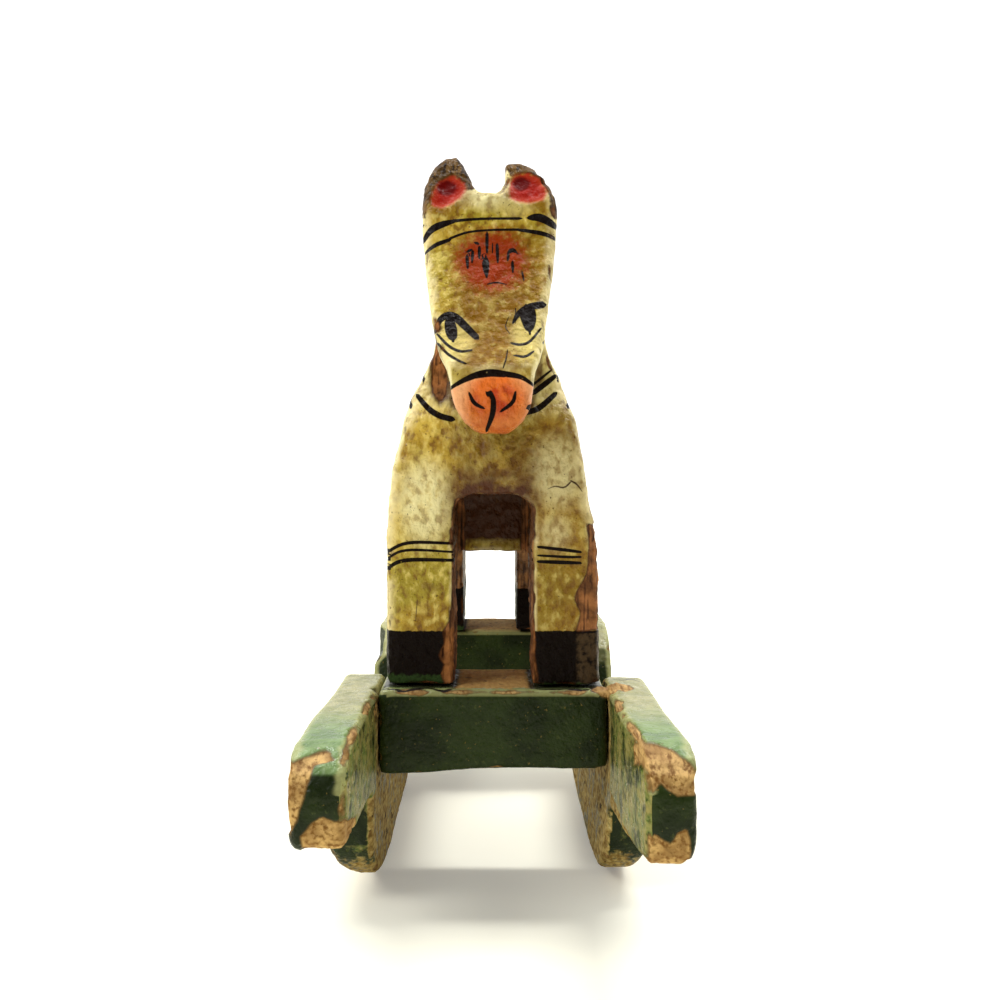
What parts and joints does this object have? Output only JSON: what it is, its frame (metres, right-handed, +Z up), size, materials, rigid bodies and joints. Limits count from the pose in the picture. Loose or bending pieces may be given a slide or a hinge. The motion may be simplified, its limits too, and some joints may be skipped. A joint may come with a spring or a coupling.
{
  "type": "wooden rocking toy horse",
  "caption": "Hand-carved painted wooden toy horse standing on crossbars between two green rocker boards; it rocks fore and aft on its rounded lower edges.",
  "frame": {"origin": "on the floor under the middle of the toy", "axes": "+Z up, +Y towards the tail (the horse faces -Y), +X towards the horse's left side"},
  "size_m": [0.1032, 0.2836, 0.2416],
  "materials": {
    "horse_paint": "old yellow-ochre paint over carved wood, with black brushwork, worn and slightly glossy",
    "green_paint": "dark green paint over wood, chipped to bare wood at the ends and edges",
    "raw_wood": "unpainted brown wood",
    "nail_iron": "rusted iron wire nails"
  },
  "bodies": {
    "root": {"horse_body": "horse_paint", "left_rocker": "green_paint", "right_rocker": "green_paint", "front_crossbar": "green_paint", "rear_crossbar": "green_paint", "front_left_leg_peg": "raw_wood", "front_right_leg_peg": "raw_wood", "rear_left_leg_peg": "raw_wood", "rear_right_leg_peg": "raw_wood", "front_left_lower_nail": "nail_iron", "front_left_upper_nail": "nail_iron", "front_right_lower_nail": "nail_iron", "front_right_upper_nail": "nail_iron", "rear_left_lower_nail": "nail_iron", "rear_left_upper_nail": "nail_iron", "rear_right_lower_nail": "nail_iron", "rear_right_upper_nail": "nail_iron"}
  },
  "joints": []
}
